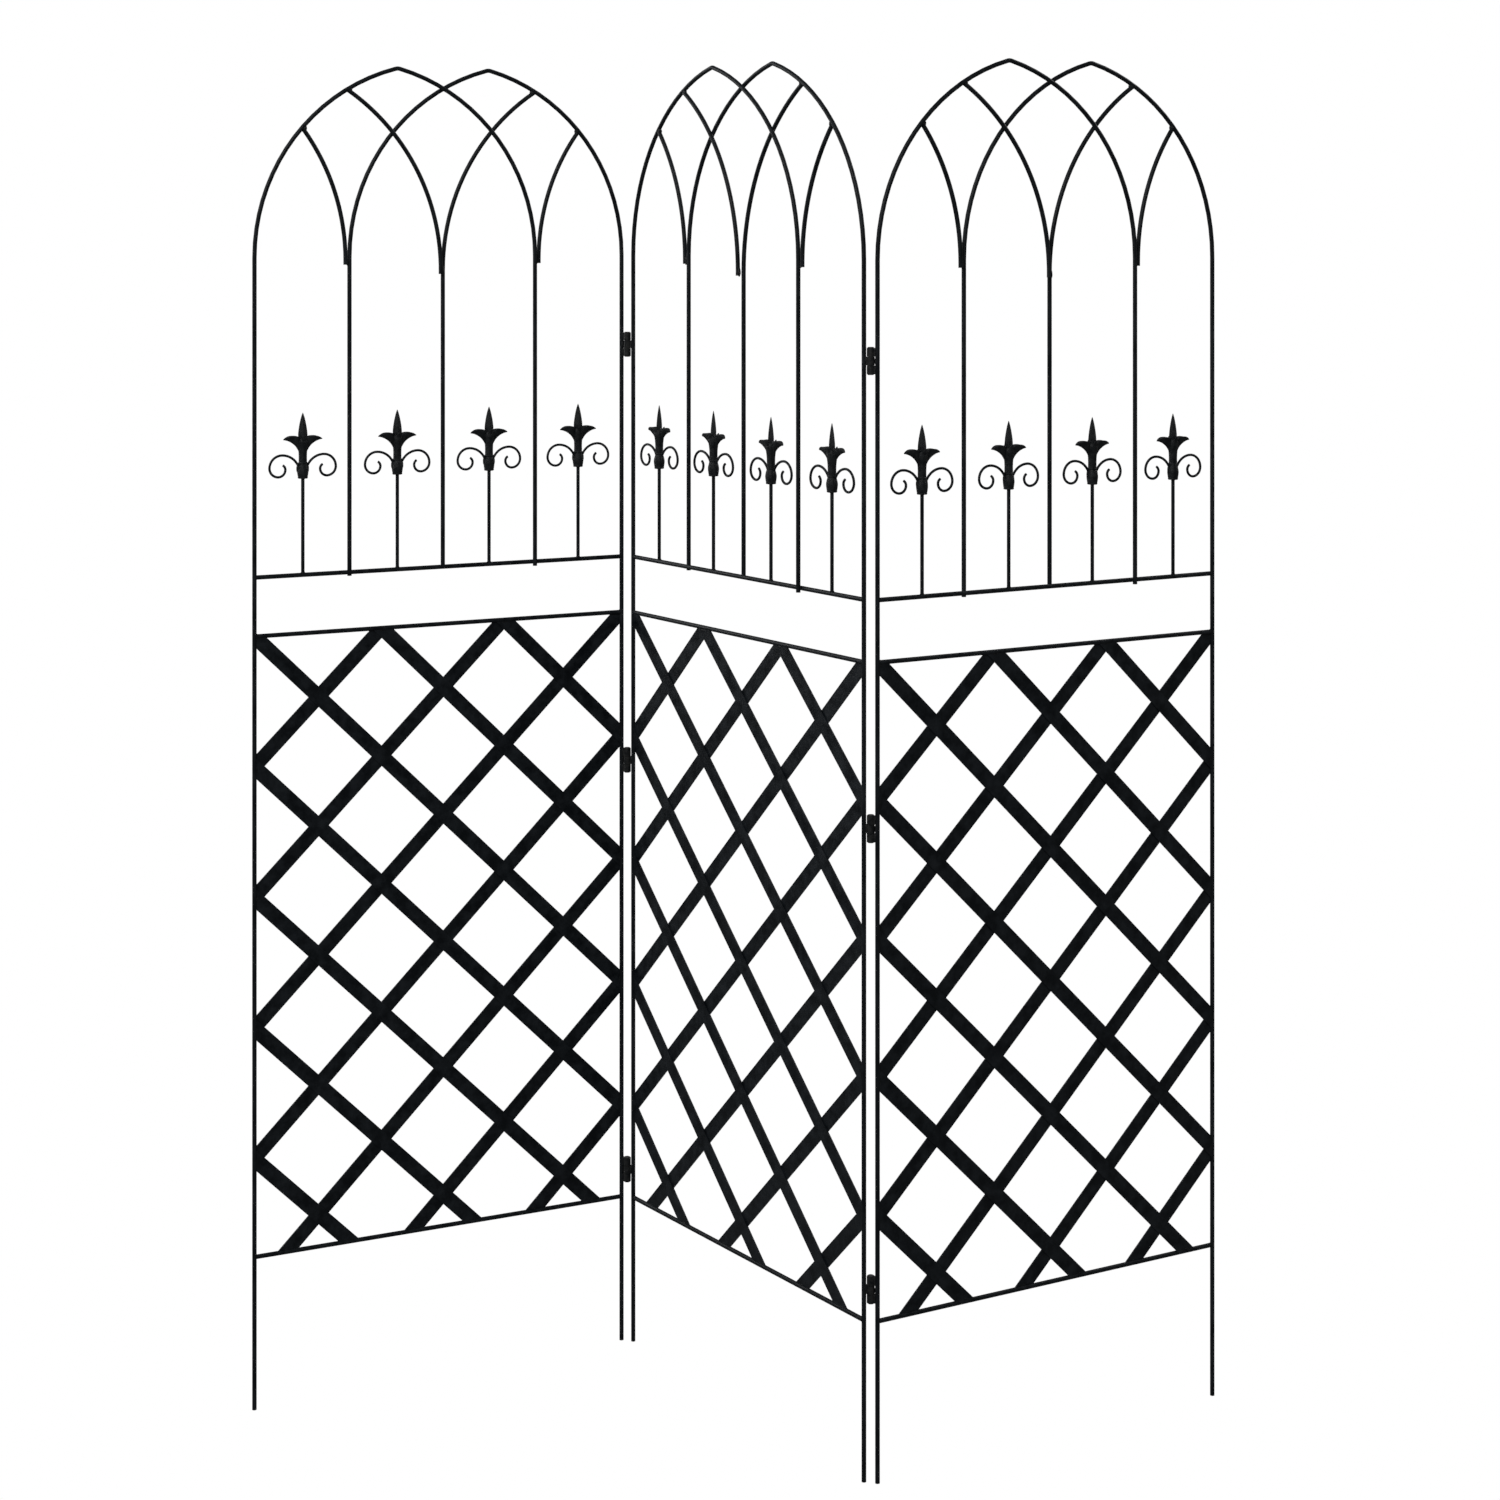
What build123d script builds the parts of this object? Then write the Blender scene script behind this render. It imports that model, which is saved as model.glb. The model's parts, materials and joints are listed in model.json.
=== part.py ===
from build123d import *
from math import acos, asin, atan2, cos, degrees, floor, hypot, radians, sin, sqrt
import os

# A folding garden trellis of three hinged wrought-steel panels, stood in a zigzag.
# Each panel is two long rods bent into interlaced gothic arches, with short branch rods,
# three cross rails, a diagonal lattice of flat strips below and four finials above it.
# Millimetres, +Z up, +X along the middle panel, ground at Z = 0.
# The origin is midway between the two free end posts.

# ---- driving sizes ----
panel_width = 540.0            # post axis to post axis
bottom_rail_height = 207.0     # rail axes above the ground
lattice_top_height = 1050.0
upper_rail_height = 1130.0
bar_length = 435.0             # upper rail axis up to where the arches spring
rod_radius = 3.0               # arch rods and branches
rail_radius = 3.0
rail_inset = 1.3               # post axis to the end of a rail before it is coped to the post
left_fold = 79.8               # how far each end panel is turned out of line, in degrees
right_fold = 83.4

# ---- arches ----
bays = 4
bay = panel_width / bays
spring_height = upper_rail_height + bar_length
arch_radius = 2 * bay
apex_bend_radius = 12.0
arch_span = 3 * bay
bar_overhang = 2.5             # bars 1 and 3 run on past the upper rail by this much
tall_branch_radius = 300.0
tall_branch_drop = 20.0        # the tall branches leave their bar this far below the spring
short_branch_radius = 300.0
short_branch_drop = 6.0
branch_tail = 5.0              # straight foot of a branch, welded beside its bar
branch_clearance = 0.2         # across the panel, between a short branch's foot and its bar
tall_branch_spacing = 5.0      # and from the tall branch's foot to the centre bar
crossing_clearance = 0.1       # between the two arch rods where they pass each other
short_branch_inset = 2.0       # how much nearer the mid-plane a short branch is than its bar

# ---- lattice ----
strip_width = 20.0
strip_thickness = 2.0
lattice_columns = 3
lattice_row_pitch = 177.5

# ---- finials ----
stem_radius = 2.4
stem_length = 129.0            # above the upper rail
collar_radius = 7.8
collar_lip_radius = 6.9
collar_height = 20.0
neck_radius = 5.6
cup_height = 38.0              # collar top to the crest of the leaves
cup_rim_radius = 7.4
cup_rim_drop = 10.0            # crest of the leaves down to the cup's widest ring
cup_mouth_radius = 5.8
cup_waist_swell = 0.3
leaf_reach = 27.5              # finial axis to the tip of a side leaf
leaf_thickness = 3.2
leaf_root_radius = 4.9         # inside the cup's wall
leaf_root_drop = 16.0          # crest down to the lower edge, at the root
leaf_tip_drop = 4.0
leaf_top_drop = 1.0            # crest down to the upper edge, at the root
leaf_belly = (16.0, -8.5)      # a point of the lower edge, from the axis and the crest
leaf_back = (18.2, 0.0)        # a point of the upper edge
spear_length = 32.0            # blade above the leaves
spear_half_width = 6.8
spear_half_depth = 3.4
spear_sections = (             # share of the length, of the half width and of the half depth
    (0.0, 0.8, 0.9),
    (0.15, 1.0, 1.0),
    (0.55, 0.66, 0.72),
    (1.0, 0.06, 0.1),
)
spear_tang_radius = 2.6
spear_tang_length = 14.0       # how far the spear goes down into the cup
spear_seat_clearance = 0.02
seam_lean = 40.0               # turned pieces start and end their turn away from the leaves
scroll_rod_radius = 1.7
scroll_start_height = 18.0     # above the collar's foot
scroll_root_inset = 1.0        # how far inside the collar's belly a scroll starts
scroll_arcs = (                # radius and turn of each, from the collar outwards and in
    (25.0, 65.0),
    (17.2, 90.0),
    (12.4, 90.0),
    (9.8, 90.0),
    (7.0, 60.0),
)

# ---- hinges ----
hinge_heights = (247.0, 837.0, 1436.0)
hinge_levels = ("lower", "centre", "upper")
knuckle_height = 11.0
knuckle_gap = 0.4
hinge_pin_radius = 2.4
pin_running_clearance = 0.05
knuckle_wall = 2.7
pin_head_radius = 3.9
pin_head_height = 1.0
barrel_to_post_clearance = 0.7
web_width = 5.0

# ---- values that follow from them ----
knuckle_bore = hinge_pin_radius + pin_running_clearance
barrel_radius = knuckle_bore + knuckle_wall
pin_offset = (barrel_radius + barrel_to_post_clearance + rod_radius) / sqrt(2)
crossing_depth = rod_radius + crossing_clearance / 2
arch_lean = degrees(asin(crossing_depth / (2 * bay)))
bar_depth = arch_span * sin(radians(arch_lean))
branch_spacing = 2 * rod_radius + branch_clearance
branch_depth = rod_radius      # centre bar behind, tall branch in front of, the mid-plane
collar_foot = upper_rail_height + rail_radius + stem_length
collar_top = collar_foot + collar_height
leaf_crest = collar_top + cup_height
spear_foot = leaf_crest - spear_tang_length

UP = Vector(0, 0, 1)
os.makedirs("parts", exist_ok=True)


def save(piece, name):
    piece.part.label = name
    export_step(piece.part, f"parts/{name}.step")


class Panel:
    """Where one panel stands: its left post, the way along it and the way out of its front."""

    def __init__(self, name, left_post, turn):
        self.name = name
        self.left_post = left_post
        self.along = Vector(cos(radians(turn)), sin(radians(turn)), 0)
        self.front = self.along.cross(UP)

    def point(self, across, depth=0.0, height=0.0):
        return self.left_post + self.along * across + self.front * depth + UP * height

    def face(self, across=0.0, depth=0.0, to_left=False, lean=0.0):
        """Upright plane through a vertical line of the panel; sketch Y is height."""
        side = -1 if to_left else 1
        forward = sin(radians(lean))
        x_dir = self.along * (side * cos(radians(lean))) + self.front * forward
        return Plane(origin=self.point(across, depth), x_dir=x_dir, z_dir=x_dir.cross(UP))

    def level(self, across, height):
        return Plane(origin=self.point(across, 0, height), x_dir=self.along, z_dir=UP)


def lay_out_panels():
    """Stand the middle panel along X, hang the others on their pins, and centre the result."""
    middle = Panel("middle", Vector(0, 0, 0), 0)
    left_pin = middle.point(-pin_offset, pin_offset)
    right_pin = middle.point(panel_width + pin_offset, -pin_offset)
    left = Panel("left", Vector(0, 0, 0), left_fold)
    left.left_post = left_pin - left.along * (pin_offset + panel_width) - left.front * pin_offset
    right = Panel("right", Vector(0, 0, 0), right_fold)
    right.left_post = right_pin + right.along * pin_offset + right.front * pin_offset
    centre = (left.left_post + right.point(panel_width)) * 0.5
    for panel in (left, middle, right):
        panel.left_post = panel.left_post - centre
    return left, middle, right, left_pin - centre, right_pin - centre


def circles_meet(centre_a, radius_a, centre_b, radius_b):
    """The upper point where two circles cross."""
    dx, dy = centre_b[0] - centre_a[0], centre_b[1] - centre_a[1]
    gap = hypot(dx, dy)
    along = (radius_a**2 - radius_b**2 + gap**2) / (2 * gap)
    aside = sqrt(radius_a**2 - along**2)
    crossings = []
    for side in (1, -1):
        x = centre_a[0] + (along * dx - side * aside * dy) / gap
        y = centre_a[1] + (along * dy + side * aside * dx) / gap
        crossings.append((x, y))
    return max(crossings, key=lambda crossing: crossing[1])


def arch_rod(plane):
    """A leg, an arch over three bays with a tightly bent crown, and a bar down to the rail."""
    half_bay = arch_span / 2 - bay
    crown_rise = sqrt((arch_radius - apex_bend_radius) ** 2 - half_bay**2)
    crown_turn = degrees(atan2(crown_rise, half_bay))
    crown = (arch_span / 2, spring_height + crown_rise)
    bar_end = upper_rail_height - rail_radius - bar_overhang
    with BuildPart() as rod:
        with BuildLine(plane) as path:
            Line((0, 0), (0, spring_height))
            CenterArc((arch_radius, spring_height), arch_radius, 180, -crown_turn)
            CenterArc(crown, apex_bend_radius, 180 - crown_turn, 2 * crown_turn - 180)
            CenterArc((bay, spring_height), arch_radius, crown_turn, -crown_turn)
            Line((arch_span, spring_height), (arch_span, bar_end))
        with BuildSketch(Plane(origin=plane.origin, z_dir=UP)):
            Circle(rod_radius)
        sweep(path=path.wires()[0])
    return rod


def branch_rod(panel, foot_across, foot_depth, to_left, radius, spring, foot, obstacles):
    """A rod that leaves a bar and curves out to end against the arch rod on its side of the panel."""
    side = -1 if to_left else 1
    centre = (foot_across + side * radius, spring)
    arch_centre = (arch_radius, spring_height) if to_left else (panel_width - arch_radius, spring_height)
    landing = circles_meet(centre, radius, arch_centre, arch_radius)
    from_post = landing[0] if to_left else panel_width - landing[0]
    landing_depth = from_post * sin(radians(arch_lean)) * (1 if to_left else -1)
    outward = Vector(landing[0] - arch_centre[0], landing[1] - arch_centre[1]).normalized()
    outward = panel.along * outward.X + UP * outward.Y
    end_plane = Plane(
        origin=panel.point(landing[0], landing_depth, landing[1]) - outward * rod_radius,
        z_dir=outward,
    )
    reach = abs(landing[0] - foot_across)
    lean = degrees(atan2(landing_depth - foot_depth, reach))
    turn = degrees(acos((radius - reach) / radius))
    plane = panel.face(foot_across, foot_depth, to_left, lean)
    with BuildPart() as rod:
        with BuildLine(plane) as path:
            Line((0, foot), (0, spring))
            CenterArc((radius, spring), radius, 180, -turn)
        with BuildSketch(Plane(origin=plane.origin + UP * foot, z_dir=UP)):
            Circle(rod_radius)
        sweep(path=path.wires()[0])
        split(bisect_by=end_plane, keep=Keep.BOTTOM)
        for obstacle in obstacles:
            add(obstacle.part, mode=Mode.SUBTRACT)
    return rod


def cross_rail(panel, height, posts):
    with BuildPart() as rail:
        with BuildSketch(Plane(origin=panel.point(rail_inset, 0, height), z_dir=panel.along)):
            Circle(rail_radius)
        extrude(amount=panel_width - 2 * rail_inset)
        for post in posts:
            add(post.part, mode=Mode.SUBTRACT)
    return rail


def lattice_strips(panel, rising, borders):
    """Seven parallel flat strips, cut off at the posts and at the two lattice rails."""
    column_pitch = panel_width / lattice_columns
    slant = degrees(atan2(lattice_row_pitch, column_pitch))
    height = lattice_top_height - bottom_rail_height
    rows_below = floor(height / lattice_row_pitch)
    middle_drop = lattice_row_pitch * lattice_columns / 2
    with BuildPart() as strips:
        with BuildSketch(panel.face()):
            for row in range(-rows_below, lattice_columns):
                strip_middle = lattice_top_height + row * lattice_row_pitch - middle_drop
                with Locations((panel_width / 2, strip_middle)):
                    Rectangle(2 * panel_width, strip_width, rotation=slant if rising else -slant)
            with Locations((panel_width / 2, bottom_rail_height + height / 2)):
                Rectangle(panel_width, height, mode=Mode.INTERSECT)
        extrude(amount=-strip_thickness if rising else strip_thickness)
        for border in borders:
            add(border.part, mode=Mode.SUBTRACT)
    return strips


def finial_places(panel, lean=0.0):
    return [panel.face((number + 0.5) * bay, lean=lean) for number in range(bays)]


def finial_stems(panel, rail):
    with BuildPart() as stems:
        for place in finial_places(panel):
            with BuildSketch(Plane(origin=place.origin + UP * upper_rail_height, z_dir=UP)):
                Circle(stem_radius)
            extrude(amount=rail_radius + stem_length)
        add(rail.part, mode=Mode.SUBTRACT)
    return stems


def finial_collars(panel):
    """A turned foot that the stem and the two scrolls are welded to."""
    swell = collar_foot + collar_height / 2
    with BuildPart() as collars:
        for place in finial_places(panel, seam_lean):
            with BuildSketch(place):
                with BuildLine():
                    Line((0, collar_foot), (collar_lip_radius, collar_foot))
                    ThreePointArc((collar_lip_radius, collar_foot), (collar_radius, swell),
                                  (neck_radius, collar_top))
                    Line((neck_radius, collar_top), (0, collar_top))
                    Line((0, collar_top), (0, collar_foot))
                make_face()
            revolve(axis=Axis(place.origin, UP))
    return collars


def finial_spears(panel):
    """Four-sided pointed blades on round tangs, widest a little above the leaves."""
    with BuildPart() as spears:
        for number in range(bays):
            middle = (number + 0.5) * bay
            for length_share, width_share, depth_share in spear_sections:
                height = leaf_crest + length_share * spear_length
                half_width = spear_half_width * width_share
                half_depth = spear_half_depth * depth_share
                with BuildSketch(panel.level(middle, height)):
                    with BuildLine():
                        Polyline((half_width, 0), (0, half_depth), (-half_width, 0), (0, -half_depth),
                                 close=True)
                    make_face()
            loft(ruled=True)
            with BuildSketch(panel.level(middle, spear_foot)):
                Circle(spear_tang_radius)
            extrude(amount=spear_tang_length)
    return spears


def finial_cups(panel):
    """A necked cup with a leaf curling out on each side; the spear stands in it."""
    rim = leaf_crest - cup_rim_drop
    waist = (neck_radius + cup_waist_swell, (collar_top + rim) / 2)
    with BuildPart() as cups:
        for place, turned_place in zip(finial_places(panel), finial_places(panel, seam_lean)):
            with BuildSketch(turned_place):
                with BuildLine():
                    Line((0, collar_top), (neck_radius, collar_top))
                    ThreePointArc((neck_radius, collar_top), waist, (cup_rim_radius, rim))
                    Line((cup_rim_radius, rim), (cup_mouth_radius, leaf_crest))
                    Line((cup_mouth_radius, leaf_crest), (0, leaf_crest))
                    Line((0, leaf_crest), (0, collar_top))
                make_face()
            revolve(axis=Axis(place.origin, UP))
            with BuildSketch(place):
                for side in (1, -1):
                    low_root = (side * leaf_root_radius, leaf_crest - leaf_root_drop)
                    high_root = (side * leaf_root_radius, leaf_crest - leaf_top_drop)
                    belly = (side * leaf_belly[0], leaf_crest + leaf_belly[1])
                    back = (side * leaf_back[0], leaf_crest + leaf_back[1])
                    tip = (side * leaf_reach, leaf_crest - leaf_tip_drop)
                    with BuildLine():
                        ThreePointArc(low_root, belly, tip)
                        ThreePointArc(tip, back, high_root)
                        Line(high_root, low_root)
                    make_face()
            extrude(amount=leaf_thickness / 2, both=True)
            with BuildSketch(Plane(origin=place.origin + UP * spear_foot, z_dir=UP)):
                Circle(spear_tang_radius + spear_seat_clearance)
            extrude(amount=spear_tang_length, mode=Mode.SUBTRACT)
    return cups


def finial_scrolls(panel, collars):
    """Thin rods that rise from each collar, roll outwards and curl in under themselves."""
    first_radius, first_turn = scroll_arcs[0]
    start = (collar_radius - scroll_root_inset, collar_foot + scroll_start_height)
    first_centre = (start[0] + first_radius * sin(radians(first_turn)),
                    start[1] - first_radius * cos(radians(first_turn)))
    with BuildPart() as scrolls:
        for number in range(bays):
            for to_left in (False, True):
                plane = panel.face((number + 0.5) * bay, 0, to_left)
                with BuildLine(plane) as path:
                    centre = first_centre
                    heading = 90.0 + first_turn
                    inner_radius = first_radius
                    for radius, turn in scroll_arcs:
                        inward = inner_radius - radius
                        centre = (centre[0] + inward * cos(radians(heading)),
                                  centre[1] + inward * sin(radians(heading)))
                        CenterArc(centre, radius, heading, -turn)
                        heading = heading - turn
                        inner_radius = radius
                wire = path.wires()[0]
                with BuildSketch(Plane(origin=wire @ 0, z_dir=wire % 0)):
                    Circle(scroll_rod_radius)
                sweep(path=wire)
        add(collars.part, mode=Mode.SUBTRACT)
    return scrolls


def knuckles(pin, post, heights):
    """Barrel knuckles about one pin, each with the web that welds it to its post."""
    reach = post - pin
    web_middle = pin + reach * 0.5
    facing = degrees(atan2(reach.Y, reach.X))
    with BuildPart() as barrels:
        for height in heights:
            with BuildSketch(Plane.XY.offset(height - knuckle_height / 2)):
                with Locations((web_middle.X, web_middle.Y)):
                    Rectangle(reach.length, web_width, rotation=facing)
                with Locations((pin.X, pin.Y)):
                    Circle(barrel_radius)
                    Circle(knuckle_bore, mode=Mode.SUBTRACT)
                with Locations((post.X, post.Y)):
                    Circle(rod_radius, mode=Mode.SUBTRACT)
            extrude(amount=knuckle_height)
    return barrels


def hinge_pins(pin):
    stack = 3 * knuckle_height + 2 * knuckle_gap
    with BuildPart() as pins:
        for height in hinge_heights:
            foot = height - stack / 2
            with BuildSketch(Plane.XY.offset(foot)):
                with Locations((pin.X, pin.Y)):
                    Circle(hinge_pin_radius)
            extrude(amount=stack)
            for head_foot in (foot - pin_head_height, foot + stack):
                with BuildSketch(Plane.XY.offset(head_foot)):
                    with Locations((pin.X, pin.Y)):
                        Circle(pin_head_radius)
                extrude(amount=pin_head_height)
    return pins


def build_panel(panel):
    left_arch = arch_rod(panel.face(0, 0, False, arch_lean))
    right_arch = arch_rod(panel.face(panel_width, 0, True, -arch_lean))
    posts = (left_arch, right_arch)
    upper_rail = cross_rail(panel, upper_rail_height, posts)
    lattice_rail = cross_rail(panel, lattice_top_height, posts)
    bottom_rail = cross_rail(panel, bottom_rail_height, posts)

    tall_spring = spring_height - tall_branch_drop
    short_spring = spring_height - short_branch_drop
    short_depth = bar_depth - short_branch_inset
    centre_bar = branch_rod(panel, 2 * bay, -branch_depth, False, tall_branch_radius, tall_spring,
                            upper_rail_height, (upper_rail,))
    tall_branch = branch_rod(panel, 2 * bay - tall_branch_spacing, branch_depth, True,
                             tall_branch_radius, tall_spring, tall_spring - branch_tail, ())
    left_short = branch_rod(panel, bay - branch_spacing, -short_depth, True, short_branch_radius,
                            short_spring, short_spring - branch_tail, ())
    right_short = branch_rod(panel, 3 * bay + branch_spacing, short_depth, False, short_branch_radius,
                             short_spring, short_spring - branch_tail, ())

    borders = (left_arch, right_arch, lattice_rail, bottom_rail)
    falling = lattice_strips(panel, False, borders)
    rising = lattice_strips(panel, True, borders)

    stems = finial_stems(panel, upper_rail)
    collars = finial_collars(panel)
    spears = finial_spears(panel)
    cups = finial_cups(panel)
    scrolls = finial_scrolls(panel, collars)

    pieces = {
        "left_arch_rod": left_arch,
        "right_arch_rod": right_arch,
        "centre_bar": centre_bar,
        "tall_branch": tall_branch,
        "left_short_branch": left_short,
        "right_short_branch": right_short,
        "upper_rail": upper_rail,
        "lattice_top_rail": lattice_rail,
        "bottom_rail": bottom_rail,
        "falling_strips": falling,
        "rising_strips": rising,
        "finial_stems": stems,
        "finial_collars": collars,
        "finial_cups": cups,
        "finial_spears": spears,
        "finial_scrolls": scrolls,
    }
    for name, piece in pieces.items():
        save(piece, f"{panel.name}_panel_{name}")


def build_hinges(side, pin, outer_post, middle_post):
    """Three barrel hinges down one joint; the middle panel carries the middle knuckles."""
    step = knuckle_height + knuckle_gap
    for level, height in zip(hinge_levels, hinge_heights):
        outer_knuckles = knuckles(pin, outer_post, (height - step, height + step))
        save(outer_knuckles, f"{side}_hinge_{level}_outer_knuckles")
    save(knuckles(pin, middle_post, hinge_heights), f"{side}_hinge_middle_knuckles")
    save(hinge_pins(pin), f"{side}_hinge_pins")


left_panel, middle_panel, right_panel, left_pin_place, right_pin_place = lay_out_panels()
for each_panel in (left_panel, middle_panel, right_panel):
    build_panel(each_panel)
build_hinges("left", left_pin_place, left_panel.point(panel_width), middle_panel.point(0))
build_hinges("right", right_pin_place, right_panel.point(0), middle_panel.point(panel_width))
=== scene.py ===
import json
import math

import bpy
from mathutils import Matrix, Vector


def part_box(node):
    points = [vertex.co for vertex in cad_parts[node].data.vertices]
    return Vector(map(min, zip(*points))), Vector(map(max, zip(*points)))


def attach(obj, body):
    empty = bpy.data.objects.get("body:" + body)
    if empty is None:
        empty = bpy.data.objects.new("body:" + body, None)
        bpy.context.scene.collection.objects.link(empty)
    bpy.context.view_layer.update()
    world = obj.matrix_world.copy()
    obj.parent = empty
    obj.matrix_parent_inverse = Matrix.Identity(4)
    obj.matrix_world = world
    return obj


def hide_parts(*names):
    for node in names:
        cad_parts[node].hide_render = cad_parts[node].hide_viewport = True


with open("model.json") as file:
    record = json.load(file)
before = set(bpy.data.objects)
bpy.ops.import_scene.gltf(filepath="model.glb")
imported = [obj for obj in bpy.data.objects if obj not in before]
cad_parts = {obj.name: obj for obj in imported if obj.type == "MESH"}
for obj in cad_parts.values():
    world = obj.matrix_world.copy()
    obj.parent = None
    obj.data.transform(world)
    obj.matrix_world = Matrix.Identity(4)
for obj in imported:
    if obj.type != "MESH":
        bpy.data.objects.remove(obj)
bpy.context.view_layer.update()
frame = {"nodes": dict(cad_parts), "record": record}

# ---- sizes in metres, the same as in the frame ----
MM = 0.001
BAYS = 4
LATTICE_COLUMNS = 3
ROW_PITCH = 177.5 * MM
ROD = 3.0 * MM
COLLAR_RADIUS = 7.8 * MM
CREST_DROP = 10.0 * MM          # crest of the leaves down to the cup's widest ring
PANELS = ("left", "middle", "right")

mounts = {mount["name"]: Vector(mount["pos_m"]) for mount in frame["record"]["mounts"]}
hinges = {joint["name"]: Vector(joint["pos_m"]) for joint in frame["record"]["behaviour"]["joints"]}
feet = {
    "left": ("left_panel_free_foot", "left_panel_hinge_foot"),
    "middle": ("middle_panel_left_foot", "middle_panel_right_foot"),
    "right": ("right_panel_hinge_foot", "right_panel_free_foot"),
}


def middle_height(node):
    low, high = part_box(node)
    return (low.z + high.z) / 2


class Panel:
    """Where a panel stands, taken from its two feet."""

    def __init__(self, name):
        first, last = (mounts[foot] for foot in feet[name])
        self.name = name
        self.body = f"{name}_panel"
        self.foot = Vector((first.x, first.y, 0))
        run = Vector((last.x - first.x, last.y - first.y, 0))
        self.width = run.length
        self.along = run.normalized()
        self.front = self.along.cross(Vector((0, 0, 1)))
        self.turn = math.atan2(self.along.y, self.along.x)

    def place(self, across, depth, height):
        """Matrix that stands a part made facing -Y at a place on the panel."""
        spot = self.foot + self.along * across + self.front * depth + Vector((0, 0, height))
        return Matrix.Translation(spot) @ Matrix.Rotation(self.turn, 4, "Z")

    def node(self, name):
        return f"{self.name}_panel_{name}"


panels = [Panel(name) for name in PANELS]


# ---- finishes ----
def socket(group, name, kind, inwards, value=None):
    item = group.interface.new_socket(name=name, in_out="INPUT" if inwards else "OUTPUT", socket_type=kind)
    if value is not None:
        item.default_value = value


def new_node(tree, kind, **settings):
    node = tree.nodes.new(kind)
    for key, value in settings.items():
        setattr(node, key, value)
    return node


def brushed_paint_group():
    """Paint over steel: tone, sheen and skin change from place to place."""
    group = bpy.data.node_groups.new("paint_over_steel", "ShaderNodeTree")
    socket(group, "Vector", "NodeSocketVector", True)
    socket(group, "Paint", "NodeSocketColor", True, (0.010, 0.012, 0.014, 1))
    socket(group, "Thin paint", "NodeSocketColor", True, (0.022, 0.024, 0.026, 1))
    socket(group, "Patch size", "NodeSocketFloat", True, 40.0)
    socket(group, "Grain size", "NodeSocketFloat", True, 900.0)
    socket(group, "Roughness", "NodeSocketFloat", True, 0.42)
    socket(group, "Roughness change", "NodeSocketFloat", True, 0.16)
    socket(group, "Speckle", "NodeSocketFloat", True, 0.4)
    socket(group, "Color", "NodeSocketColor", False)
    socket(group, "Sheen", "NodeSocketFloat", False)
    socket(group, "Height", "NodeSocketFloat", False)
    inside = new_node(group, "NodeGroupInput")
    outside = new_node(group, "NodeGroupOutput")
    link = group.links.new

    patches = new_node(group, "ShaderNodeTexNoise")
    patches.inputs["Detail"].default_value = 5.0
    patches.inputs["Roughness"].default_value = 0.62
    link(inside.outputs["Vector"], patches.inputs["Vector"])
    link(inside.outputs["Patch size"], patches.inputs["Scale"])
    patch_mask = new_node(group, "ShaderNodeMapRange")
    patch_mask.inputs["From Min"].default_value = 0.38
    patch_mask.inputs["From Max"].default_value = 0.66
    link(patches.outputs["Fac"], patch_mask.inputs["Value"])

    grain = new_node(group, "ShaderNodeTexNoise")
    grain.inputs["Detail"].default_value = 3.0
    grain.inputs["Roughness"].default_value = 0.55
    link(inside.outputs["Vector"], grain.inputs["Vector"])
    link(inside.outputs["Grain size"], grain.inputs["Scale"])

    specks = new_node(group, "ShaderNodeTexVoronoi", feature="F1")
    link(inside.outputs["Vector"], specks.inputs["Vector"])
    link(inside.outputs["Grain size"], specks.inputs["Scale"])
    speck_mask = new_node(group, "ShaderNodeMapRange")
    speck_mask.inputs["From Min"].default_value = 0.12
    speck_mask.inputs["From Max"].default_value = 0.30
    speck_mask.inputs["To Min"].default_value = 1.0
    speck_mask.inputs["To Max"].default_value = 0.0
    link(specks.outputs["Distance"], speck_mask.inputs["Value"])
    speck_amount = new_node(group, "ShaderNodeMath", operation="MULTIPLY")
    link(speck_mask.outputs["Result"], speck_amount.inputs[0])
    link(inside.outputs["Speckle"], speck_amount.inputs[1])

    thin = new_node(group, "ShaderNodeMath", operation="MAXIMUM")
    link(patch_mask.outputs["Result"], thin.inputs[0])
    link(speck_amount.outputs["Value"], thin.inputs[1])
    tone = new_node(group, "ShaderNodeMix", data_type="RGBA")
    link(thin.outputs["Value"], tone.inputs["Factor"])
    first_color, second_color = (item for item in tone.inputs if item.type == "RGBA")
    mixed_color = [item for item in tone.outputs if item.type == "RGBA"][0]
    link(inside.outputs["Paint"], first_color)
    link(inside.outputs["Thin paint"], second_color)
    link(mixed_color, outside.inputs["Color"])

    swing = new_node(group, "ShaderNodeMath", operation="SUBTRACT")
    swing.inputs[1].default_value = 0.5
    link(patches.outputs["Fac"], swing.inputs[0])
    swing_size = new_node(group, "ShaderNodeMath", operation="MULTIPLY")
    link(swing.outputs["Value"], swing_size.inputs[0])
    link(inside.outputs["Roughness change"], swing_size.inputs[1])
    sheen = new_node(group, "ShaderNodeMath", operation="MULTIPLY_ADD")
    sheen.inputs[1].default_value = 2.0
    link(swing_size.outputs["Value"], sheen.inputs[0])
    link(inside.outputs["Roughness"], sheen.inputs[2])
    link(sheen.outputs["Value"], outside.inputs["Sheen"])

    height = new_node(group, "ShaderNodeMath", operation="MULTIPLY_ADD")
    height.inputs[1].default_value = 0.35
    link(speck_amount.outputs["Value"], height.inputs[0])
    link(grain.outputs["Fac"], height.inputs[2])
    link(height.outputs["Value"], outside.inputs["Height"])
    return group


paint_over_steel = brushed_paint_group()


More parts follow.
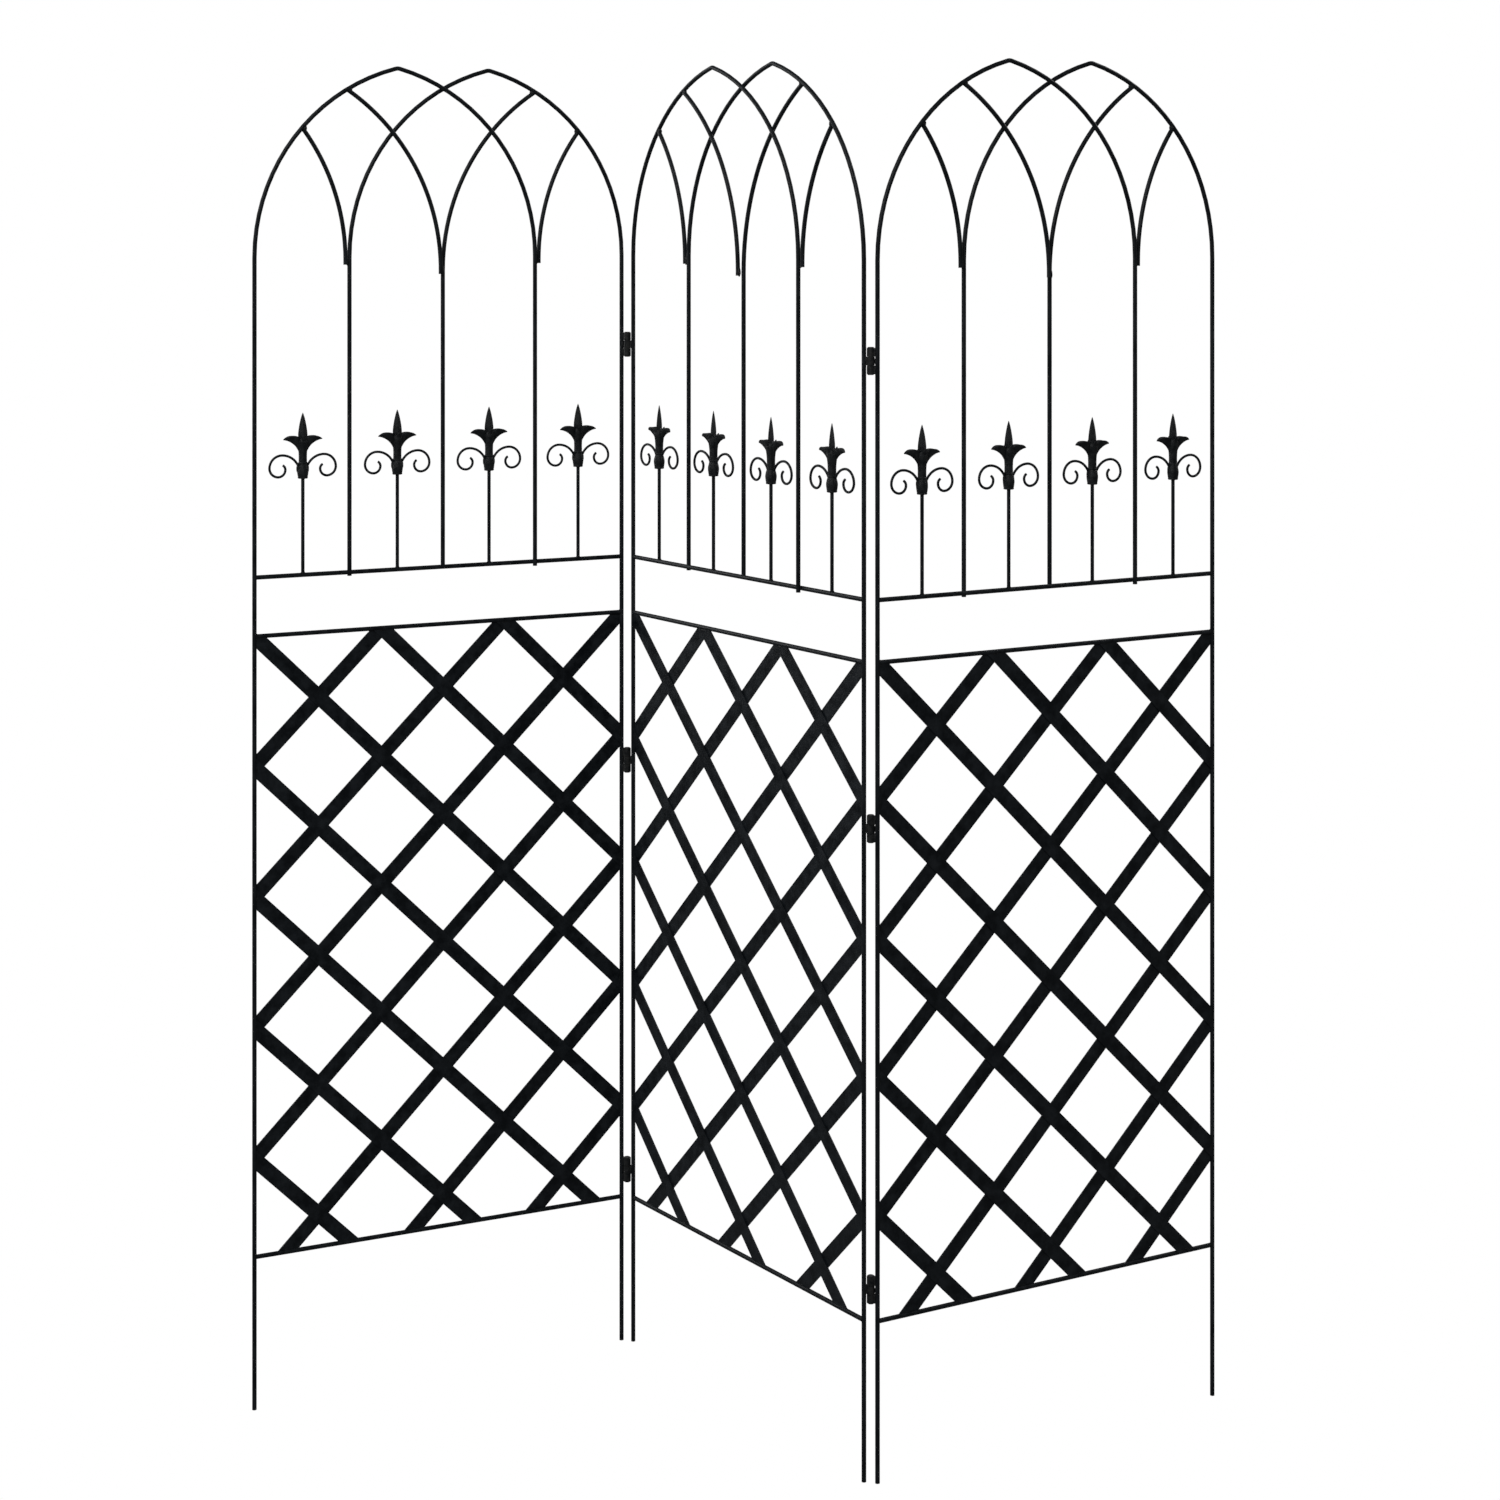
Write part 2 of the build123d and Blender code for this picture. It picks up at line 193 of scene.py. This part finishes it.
def painted(name, paint, thin, patch, grain, rough, change, speckle, bump, skin, specular, stretch=(1, 1, 1)):
    """One finish of the trellis: the shared paint with its own tone, grain and skin."""
    material = bpy.data.materials.new(name)
    material.use_nodes = True
    material.diffuse_color = (*paint, 1)
    tree = material.node_tree
    surface = tree.nodes["Principled BSDF"]
    surface.inputs["Metallic"].default_value = 0.0
    surface.inputs["Specular IOR Level"].default_value = specular
    place = new_node(tree, "ShaderNodeTexCoord")
    mapping = new_node(tree, "ShaderNodeMapping")
    mapping.inputs["Scale"].default_value = stretch
    look = new_node(tree, "ShaderNodeGroup")
    look.node_tree = paint_over_steel
    look.inputs["Paint"].default_value = (*paint, 1)
    look.inputs["Thin paint"].default_value = (*thin, 1)
    look.inputs["Patch size"].default_value = patch
    look.inputs["Grain size"].default_value = grain
    look.inputs["Roughness"].default_value = rough
    look.inputs["Roughness change"].default_value = change
    look.inputs["Speckle"].default_value = speckle
    relief = new_node(tree, "ShaderNodeBump")
    relief.inputs["Strength"].default_value = bump
    relief.inputs["Distance"].default_value = skin
    link = tree.links.new
    link(place.outputs["Object"], mapping.inputs["Vector"])
    link(mapping.outputs["Vector"], look.inputs["Vector"])
    link(look.outputs["Color"], surface.inputs["Base Color"])
    link(look.outputs["Sheen"], surface.inputs["Roughness"])
    link(look.outputs["Height"], relief.inputs["Height"])
    link(relief.outputs["Normal"], surface.inputs["Normal"])
    return material


rod_paint = painted("satin_paint_on_rod", (0.0026, 0.0038, 0.0050), (0.0110, 0.0135, 0.0160),
                    95, 800, 0.42, 0.26, 0.50, 0.55, 0.0005, 0.12, (1, 1, 0.35))
strip_paint = painted("satin_paint_on_flat_strip", (0.0026, 0.0038, 0.0052), (0.0115, 0.0142, 0.0172),
                      60, 620, 0.38, 0.28, 0.45, 0.50, 0.0005, 0.14)
cast_paint = painted("thick_paint_on_casting", (0.0030, 0.0041, 0.0050), (0.0140, 0.0160, 0.0172),
                     150, 1200, 0.44, 0.26, 0.70, 0.70, 0.0006, 0.14)
weld_paint = painted("paint_pooled_on_weld", (0.0032, 0.0042, 0.0050), (0.0100, 0.0110, 0.0116),
                     260, 1900, 0.36, 0.16, 0.55, 0.60, 0.0005, 0.16)
hinge_paint = painted("paint_rubbed_on_hinge", (0.0038, 0.0050, 0.0060), (0.0200, 0.0205, 0.0200),
                      160, 1500, 0.42, 0.20, 0.50, 0.50, 0.0004, 0.16)


def pin_steel():
    """Dark oiled steel, scratched round by turning in its knuckles."""
    material = painted("oiled_pin_steel", (0.045, 0.046, 0.047), (0.105, 0.100, 0.094),
                       300, 1600, 0.38, 0.18, 0.4, 0.5, 0.0003, 0.5, (1, 1, 6))
    surface = material.node_tree.nodes["Principled BSDF"]
    surface.inputs["Metallic"].default_value = 0.85
    return material


pin_finish = pin_steel()


def dress(node, material):
    part = frame["nodes"][node]
    part.data.materials.clear()
    part.data.materials.append(material)


finish_of = {
    "strips": strip_paint,
    "finial_collars": cast_paint,
    "finial_cups": cast_paint,
    "finial_spears": cast_paint,
    "knuckles": hinge_paint,
    "pins": pin_finish,
}
for node in frame["nodes"]:
    matches = [finish for key, finish in finish_of.items() if key in node]
    dress(node, matches[0] if matches else rod_paint)


# ---- modelling helpers ----
def nothing_selected():
    if bpy.context.mode != "OBJECT":
        bpy.ops.object.mode_set(mode="OBJECT")
    bpy.ops.object.select_all(action="DESELECT")


def only(piece):
    nothing_selected()
    piece.select_set(True)
    bpy.context.view_layer.objects.active = piece


def edit(piece, kind="FACE"):
    only(piece)
    bpy.ops.object.mode_set(mode="EDIT")
    bpy.ops.mesh.select_mode(type=kind)
    bpy.ops.mesh.select_all(action="DESELECT")


def pick(piece, test, faces=True):
    """Select the faces (or vertices) that pass a test, with the piece in edit mode."""
    bpy.ops.object.mode_set(mode="OBJECT")
    for item in (piece.data.polygons if faces else piece.data.vertices):
        item.select = bool(test(item))
    bpy.ops.object.mode_set(mode="EDIT")


def push(offset):
    bpy.ops.mesh.extrude_region_move(TRANSFORM_OT_translate={"value": offset})


def swell(factors, about):
    bpy.ops.transform.resize(value=factors, center_override=about)


def finish_edit():
    bpy.ops.mesh.select_all(action="SELECT")
    bpy.ops.mesh.normals_make_consistent(inside=False)
    bpy.ops.object.mode_set(mode="OBJECT")


def apply_modifier(piece, kind, **settings):
    only(piece)
    modifier = piece.modifiers.new(kind.lower(), kind)
    for key, value in settings.items():
        setattr(modifier, key, value)
    bpy.ops.object.modifier_apply(modifier=modifier.name)


def smooth(piece, angle=180):
    only(piece)
    bpy.ops.object.shade_smooth_by_angle(angle=math.radians(angle))


def copy_to(piece, matrix):
    twin = piece.copy()
    twin.data = piece.data.copy()
    twin.data.transform(matrix)
    bpy.context.scene.collection.objects.link(twin)
    return twin


def gather(name, pieces, material, body, replaced=()):
    """Join copies into one piece that rides on a body."""
    nothing_selected()
    for piece in pieces:
        piece.select_set(True)
    bpy.context.view_layer.objects.active = pieces[0]
    bpy.ops.object.join()
    whole = bpy.context.view_layer.objects.active
    whole.name = name
    whole.data.name = name
    whole.data.materials.clear()
    whole.data.materials.append(material)
    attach(whole, body)
    if replaced:
        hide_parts(*replaced)
    return whole


# ---- finial casting, made once with its foot at the origin and its front towards -Y ----
collar_low, collar_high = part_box("middle_panel_finial_collars")
COLLAR_FOOT = collar_low.z
COLLAR_TOP = collar_high.z
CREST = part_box("middle_panel_finial_cups")[1].z
SPEAR_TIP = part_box("middle_panel_finial_spears")[1].z


def turned(name, rings, sides=28):
    """A turned solid built up ring by ring, each a radius and a height, from foot to top."""
    first_radius, first_height = rings[0]
    nothing_selected()
    bpy.ops.mesh.primitive_circle_add(vertices=sides, radius=first_radius, fill_type="NGON",
                                      location=(0, 0, first_height))
    piece = bpy.context.active_object
    piece.name = name
    bpy.ops.object.transform_apply(location=True)
    edit(piece)
    bpy.ops.mesh.select_all(action="SELECT")
    before_radius, before_height = first_radius, first_height
    for radius, height in rings[1:]:
        push((0, 0, height - before_height))
        share = radius / before_radius
        swell((share, share, 1), (0, 0, height))
        before_radius, before_height = radius, height
    finish_edit()
    return piece


def cup():
    """Necked cup with a rolled bead where it sits on the collar and a hollow mouth."""
    low, rim = COLLAR_TOP, CREST - CREST_DROP
    span = rim - low
    rings = [
        (5.5 * MM, low - 0.4 * MM), (6.3 * MM, low + 0.3 * MM), (6.6 * MM, low + 1.0 * MM),
        (6.3 * MM, low + 1.8 * MM), (5.7 * MM, low + 2.4 * MM), (5.6 * MM, low + 0.35 * span),
        (5.8 * MM, low + 0.55 * span), (6.3 * MM, low + 0.74 * span), (7.0 * MM, low + 0.9 * span),
        (7.5 * MM, rim), (7.5 * MM, rim + 2.0 * MM), (7.0 * MM, rim + 4.5 * MM),
        (6.2 * MM, rim + 6.5 * MM), (4.6 * MM, rim + 7.2 * MM), (3.6 * MM, rim + 6.4 * MM),
    ]
    piece = turned("cup", rings)
    smooth(piece, 40)
    return piece


def leaf(stations):
    """A cast leaf, built outwards from inside the cup: (out, underside, top, half width) in millimetres,
    with both heights taken from the crest."""
    out, under, top, half = stations[0]
    nothing_selected()
    bpy.ops.mesh.primitive_cube_add(size=1, location=(0, 0, 0))
    piece = bpy.context.active_object
    piece.name = "leaf"
    piece.scale = (1.0 * MM, 2 * half * MM, (top - under) * MM)
    piece.location = ((out - 0.5) * MM, 0, CREST + (top + under) / 2 * MM)
    bpy.ops.object.transform_apply(location=True, rotation=True, scale=True)
    edit(piece)
    pick(piece, lambda face: face.normal.x > 0.9)
    before = stations[0]
    for station in stations[1:]:
        out, under, top, half = station
        middle = (top + under) / 2
        rise = middle - (before[2] + before[1]) / 2
        push(((out - before[0]) * MM, 0, rise * MM))
        about = (out * MM, 0, CREST + middle * MM)
        swell((1, half / before[3], (top - under) / (before[2] - before[1])), about)
        before = station
    finish_edit()
    return piece


def keeled(piece, narrow):
    """Draw the underside in to a keel, so that the leaf hangs from its top like a roof."""
    stations = {}
    for vertex in piece.data.vertices:
        stations.setdefault(round(vertex.co.x, 5), []).append(vertex.co.z)
    middles = {out: sum(heights) / len(heights) for out, heights in stations.items()}
    edit(piece, "VERT")
    pick(piece, lambda vertex: vertex.co.z < middles[round(vertex.co.x, 5)], faces=False)
    swell((1, narrow, 1), (0, 0, CREST))
    finish_edit()


def dished(piece, rim, depth):
    """Sink the top of a leaf inside a raised rim."""
    edit(piece)
    pick(piece, lambda face: face.normal.z > 0.55 and face.center.x > 5.5 * MM)
    bpy.ops.mesh.inset(thickness=rim, depth=-depth)
    finish_edit()


SIDE_LEAF = (
    (2.0, -27.0, -1.6, 2.6), (5.2, -24.0, -0.6, 4.2), (7.4, -19.4, 0.1, 5.2), (10.0, -15.0, 0.6, 5.8),
    (13.5, -11.6, 0.8, 6.1), (17.0, -9.1, 0.7, 5.9), (20.5, -7.3, 0.0, 5.0), (24.0, -6.0, -1.5, 3.4),
    (26.6, -5.5, -3.2, 1.7), (27.7, -5.4, -4.2, 0.6),
)
FRONT_LEAF = (
    (2.0, -23.0, -4.0, 2.6), (4.4, -20.0, -3.6, 4.4), (5.6, -14.5, -2.6, 5.0), (6.7, -9.6, -1.2, 4.4),
    (7.7, -5.6, 0.3, 3.2), (8.5, -2.6, 1.0, 1.8), (9.0, -1.2, 0.6, 0.7),
)


def casting_leaves():
    side = leaf(SIDE_LEAF)
    keeled(side, 0.45)
    dished(side, 1.3 * MM, 0.9 * MM)
    front = leaf(FRONT_LEAF)
    keeled(front, 0.55)
    for piece in (side, front):
        apply_modifier(piece, "SUBSURF", levels=2, render_levels=2)
        smooth(piece, 60)
    pieces = [side, copy_to(side, Matrix.Rotation(math.pi, 4, "Z"))]
    for quarter in (0.5, 1.5):
        pieces.append(copy_to(front, Matrix.Rotation(math.pi * quarter, 4, "Z")))
    bpy.data.objects.remove(front, do_unlink=True)
    return pieces


def blade():
    """Four-sided spear with eased edges, widest just above the leaves."""
    length = SPEAR_TIP - CREST
    nothing_selected()
    bpy.ops.mesh.primitive_circle_add(vertices=4, radius=1, fill_type="NGON", location=(0, 0, 0))
    piece = bpy.context.active_object
    piece.name = "blade"
    piece.scale = (6.2 * MM, 4.4 * MM, 1)
    piece.location = (0, 0, CREST - 9.0 * MM)
    bpy.ops.object.transform_apply(location=True, rotation=True, scale=True)
    edit(piece)
    bpy.ops.mesh.select_all(action="SELECT")
    before = (6.2 * MM, 4.4 * MM, CREST - 9.0 * MM)
    stations = (
        (6.6, 4.7, -1.0), (6.8, 4.8, 0.06 * length / MM), (6.6, 4.7, 0.14 * length / MM),
        (6.1, 4.3, 0.28 * length / MM), (5.2, 3.7, 0.45 * length / MM), (4.1, 2.9, 0.62 * length / MM),
        (2.7, 1.9, 0.80 * length / MM), (1.2, 0.9, 0.94 * length / MM), (0.4, 0.4, length / MM),
    )
    for wide, deep, above in stations:
        height = CREST + above * MM
        push((0, 0, height - before[2]))
        swell((wide * MM / before[0], deep * MM / before[1], 1), (0, 0, height))
        before = (wide * MM, deep * MM, height)
    finish_edit()
    apply_modifier(piece, "BEVEL", width=0.45 * MM, segments=2, limit_method="ANGLE",
                   angle_limit=math.radians(35))
    smooth(piece, 38)
    return piece


def collar_foot():
    """Turned collar with a pinched lip at its foot and a bead round its belly."""
    low, high = COLLAR_FOOT, COLLAR_TOP
    span = high - low
    rings = [
        (3.2 * MM, low), (6.2 * MM, low), (6.8 * MM, low + 0.5 * MM), (6.9 * MM, low + 1.4 * MM),
        (6.7 * MM, low + 2.2 * MM), (7.0 * MM, low + 3.4 * MM), (7.5 * MM, low + 0.34 * span),
        (7.8 * MM, low + 0.48 * span), (7.7 * MM, low + 0.6 * span), (7.1 * MM, low + 0.76 * span),
        (6.3 * MM, low + 0.9 * span), (5.6 * MM, high), (4.0 * MM, high + 0.2 * MM),
    ]
    piece = turned("collar", rings)
    smooth(piece, 40)
    return piece


cup_model = cup()
leaf_models = casting_leaves()
blade_model = blade()
collar_model = collar_foot()

for panel in panels:
    bay = panel.width / BAYS
    places = [panel.place((number + 0.5) * bay, 0, 0) for number in range(BAYS)]
    cups = [copy_to(part, place) for place in places for part in [cup_model] + leaf_models]
    gather(panel.node("leafed_cups"), cups, cast_paint, panel.body, [panel.node("finial_cups")])
    blades = [copy_to(blade_model, place) for place in places]
    gather(panel.node("spear_blades"), blades, cast_paint, panel.body, [panel.node("finial_spears")])
    collars = [copy_to(collar_model, place) for place in places]
    gather(panel.node("turned_collars"), collars, cast_paint, panel.body, [panel.node("finial_collars")])


# ---- weld beads ----
def bead(seed):
    """A lump of weld metal one unit across, uneven as run by hand."""
    nothing_selected()
    bpy.ops.mesh.primitive_ico_sphere_add(subdivisions=2, radius=1, location=(0, 0, 0))
    piece = bpy.context.active_object
    piece.name = "bead"
    edit(piece, "VERT")
    bpy.ops.mesh.select_all(action="SELECT")
    bpy.ops.transform.vertex_random(offset=0.22, uniform=0.4, normal=0.7, seed=seed)
    bpy.ops.mesh.vertices_smooth(factor=0.35, repeat=1)
    finish_edit()
    apply_modifier(piece, "SUBSURF", levels=1, render_levels=1)
    smooth(piece)
    return piece


bead_models = [bead(seed) for seed in (3, 11, 24, 37)]
beads = {panel.body: [] for panel in panels}


def lay_bead(body, matrix, size):
    model = bead_models[len(beads[body]) % len(bead_models)]
    scale = Matrix.Diagonal((*size, 1))
    beads[body].append(copy_to(model, matrix @ scale))


def end_of(node, top):
    """The middle of a rod's upper or lower end."""
    points = [vertex.co for vertex in frame["nodes"][node].data.vertices]
    limit = max(point.z for point in points) if top else min(point.z for point in points)
    near = [point for point in points if abs(point.z - limit) < ROD * 0.7]
    return sum(near, Vector()) / len(near)


def strip_ends(panel, rising, low, high):
    """Where each lattice strip stops: (across, height, on a post)."""
    slope = ROW_PITCH * LATTICE_COLUMNS / panel.width * (1 if rising else -1)
    ends = []
    rows = int((high - low) // ROW_PITCH)
    for row in range(-rows, LATTICE_COLUMNS):
        middle = high + (row - LATTICE_COLUMNS / 2) * ROW_PITCH
        for side in (ROD, panel.width - ROD):
            height = middle + (side - panel.width / 2) * slope
            if low < height < high:
                ends.append((side, height, True))
            else:
                border = high if height >= high else low
                across = panel.width / 2 + (border - middle) / slope
                if 0 < across < panel.width:
                    ends.append((across, border + (-ROD if border == high else ROD), False))
    return ends


def millimetres(*size):
    return tuple(length * MM for length in size)


RAIL_END_BEAD = millimetres(2.2, 3.3, 3.7)
LANDING_BEAD = millimetres(3.9, 3.5, 4.2)
BRANCH_FOOT_BEAD = millimetres(2.2, 2.6, 7.5)
BAR_BEAD = millimetres(4.3, 3.6, 3.1)
BAR_BEAD_DEPTHS = ((1, -1.8 * MM), (2, -2.1 * MM), (3, 1.8 * MM))
STEM_BEAD = millimetres(3.5, 3.2, 1.9)
COLLAR_BEAD = millimetres(3.9, 3.9, 1.3)
SCROLL_BEAD = millimetres(2.3, 2.5, 6.4)
SCROLL_BEAD_RISE = 13.6 * MM    # above the collar's foot
STRIP_ON_POST_BEAD = millimetres(1.7, 1.6, 8.0)
STRIP_ON_RAIL_BEAD = millimetres(8.5, 1.6, 1.5)
STRIP_DEPTH = 1.0 * MM
FOOT_BEAD_INSET = 3.0 * MM
FOOT_BEAD_RISE = 5.0 * MM

for panel in panels:
    bay = panel.width / BAYS
    upper = middle_height(panel.node("upper_rail"))
    lattice_top = middle_height(panel.node("lattice_top_rail"))
    bottom = middle_height(panel.node("bottom_rail"))
    for height in (upper, lattice_top, bottom):
        for across in (ROD, panel.width - ROD):
            lay_bead(panel.body, panel.place(across, 0, height), RAIL_END_BEAD)
    for name in ("centre_bar", "tall_branch", "left_short_branch", "right_short_branch"):
        landing = end_of(panel.node(name), True)
        turn = Matrix.Translation(landing) @ Matrix.Rotation(panel.turn, 4, "Z")
        lay_bead(panel.body, turn, LANDING_BEAD)
    for name, inwards in (("tall_branch", 1), ("left_short_branch", 1), ("right_short_branch", -1)):
        foot = end_of(panel.node(name), False) + panel.along * inwards * FOOT_BEAD_INSET
        foot.z += FOOT_BEAD_RISE
        turn = Matrix.Translation(foot) @ Matrix.Rotation(panel.turn, 4, "Z")
        lay_bead(panel.body, turn, BRANCH_FOOT_BEAD)
    for number, depth in BAR_BEAD_DEPTHS:
        lay_bead(panel.body, panel.place(number * bay, depth, upper), BAR_BEAD)
    for number in range(BAYS):
        across = (number + 0.5) * bay
        lay_bead(panel.body, panel.place(across, 0, upper + ROD), STEM_BEAD)
        lay_bead(panel.body, panel.place(across, 0, COLLAR_FOOT), COLLAR_BEAD)
        for side in (-1, 1):
            spot = panel.place(across + side * 0.88 * COLLAR_RADIUS, 0, COLLAR_FOOT + SCROLL_BEAD_RISE)
            lay_bead(panel.body, spot, SCROLL_BEAD)
    for rising in (False, True):
        depth = -STRIP_DEPTH if rising else STRIP_DEPTH
        for across, height, on_post in strip_ends(panel, rising, bottom, lattice_top):
            size = STRIP_ON_POST_BEAD if on_post else STRIP_ON_RAIL_BEAD
            lay_bead(panel.body, panel.place(across, depth, height), size)


def knuckle_beads(node, body, pin, post):
    """A bead each side of every knuckle's web, where it meets the post."""
    heights = sorted({round(vertex.co.z, 4) for vertex in frame["nodes"][node].data.vertices})
    facing = math.atan2(pin.y - post.y, pin.x - post.x)
    for low, high in zip(heights, heights[1:]):
        if not 9 * MM < high - low < 13 * MM:
            continue
        for side in (-1, 1):
            spot = Matrix.Translation((post.x, post.y, (low + high) / 2)) @ Matrix.Rotation(facing, 4, "Z")
            spot = spot @ Matrix.Translation((2.2 * MM, side * 2.3 * MM, 0))
            lay_bead(body, spot, (1.2 * MM, 0.9 * MM, (high - low) * 0.46))


def flat(vector):
    return Vector((vector.x, vector.y, 0))


middle_left, middle_right = (flat(mounts[foot]) for foot in feet["middle"])
knuckle_beads("left_hinge_middle_knuckles", "middle_panel", flat(hinges["left_hinge"]), middle_left)
knuckle_beads("right_hinge_middle_knuckles", "middle_panel", flat(hinges["right_hinge"]), middle_right)
for level in ("lower", "centre", "upper"):
    knuckle_beads(f"left_hinge_{level}_outer_knuckles", "left_panel", flat(hinges["left_hinge"]),
                  flat(mounts[feet["left"][1]]))
    knuckle_beads(f"right_hinge_{level}_outer_knuckles", "right_panel", flat(hinges["right_hinge"]),
                  flat(mounts[feet["right"][0]]))

for panel in panels:
    gather(f"{panel.name}_panel_weld_beads", beads[panel.body], weld_paint, panel.body)

for model in [cup_model, blade_model, collar_model] + leaf_models + bead_models:
    bpy.data.objects.remove(model, do_unlink=True)


# ---- floor, light and camera ----
ROOM_LIGHT = 0.2
FLOOR_WIDTH = 60


def seen_or_cast(tree, strength):
    """Full white to the eye and ROOM_LIGHT on the metal, so that black paint keeps its depth."""
    path = tree.nodes.new("ShaderNodeLightPath")
    share = tree.nodes.new("ShaderNodeMath")
    share.operation = "MULTIPLY_ADD"
    tree.links.new(path.outputs["Is Camera Ray"], share.inputs[0])
    share.inputs[1].default_value = 1 - ROOM_LIGHT
    share.inputs[2].default_value = ROOM_LIGHT
    tree.links.new(share.outputs["Value"], strength)


nothing_selected()
bpy.ops.mesh.primitive_plane_add(size=FLOOR_WIDTH, location=(0, 0, 0))
floor = bpy.context.active_object
floor.name = "floor"
floor_paint = bpy.data.materials.new("white_floor")
floor_paint.use_nodes = True
floor_tree = floor_paint.node_tree
floor_tree.nodes.remove(floor_tree.nodes["Principled BSDF"])
floor_glow = floor_tree.nodes.new("ShaderNodeEmission")
floor_glow.inputs["Color"].default_value = (1, 1, 1, 1)
seen_or_cast(floor_tree, floor_glow.inputs["Strength"])
floor_tree.links.new(floor_glow.outputs["Emission"], floor_tree.nodes["Material Output"].inputs["Surface"])
floor.data.materials.append(floor_paint)

world = bpy.data.worlds.new("white_room")
bpy.context.scene.world = world
world.use_nodes = True
room_light = world.node_tree.nodes["Background"]
room_light.inputs["Color"].default_value = (1, 1, 1, 1)
seen_or_cast(world.node_tree, room_light.inputs["Strength"])
bpy.context.scene.view_settings.view_transform = "Standard"


def soft_light(name, place, aim, size, power):
    lamp = bpy.data.lights.new(name, "AREA")
    lamp.shape = "RECTANGLE"
    lamp.size = size[0]
    lamp.size_y = size[1]
    lamp.energy = power
    holder = bpy.data.objects.new(name, lamp)
    bpy.context.scene.collection.objects.link(holder)
    holder.location = place
    holder.rotation_euler = (Vector(aim) - Vector(place)).to_track_quat("-Z", "Y").to_euler()


soft_light("key_light", (2.4, -4.2, 4.2), (0, 0, 0.9), (2.6, 2.6), 190)
soft_light("fill_light", (-3.6, -2.2, 2.6), (0, 0, 0.9), (2.2, 3.0), 90)
soft_light("back_light", (0.5, 4.4, 3.8), (0, 0, 1.0), (3.0, 2.0), 90)

LENS = 66.05
CAMERA_PLACE = (3.0701, -2.1731, 1.6284)
CAMERA_TURN = math.atan2(0.8133, 0.5818)
camera_data = bpy.data.cameras.new("camera")
camera_data.lens = LENS
camera_data.sensor_width = 36
camera_data.shift_y = -0.3595
camera = bpy.data.objects.new("camera", camera_data)
bpy.context.scene.collection.objects.link(camera)
camera.location = CAMERA_PLACE
camera.rotation_euler = (math.pi / 2, 0, CAMERA_TURN)
bpy.context.scene.camera = camera
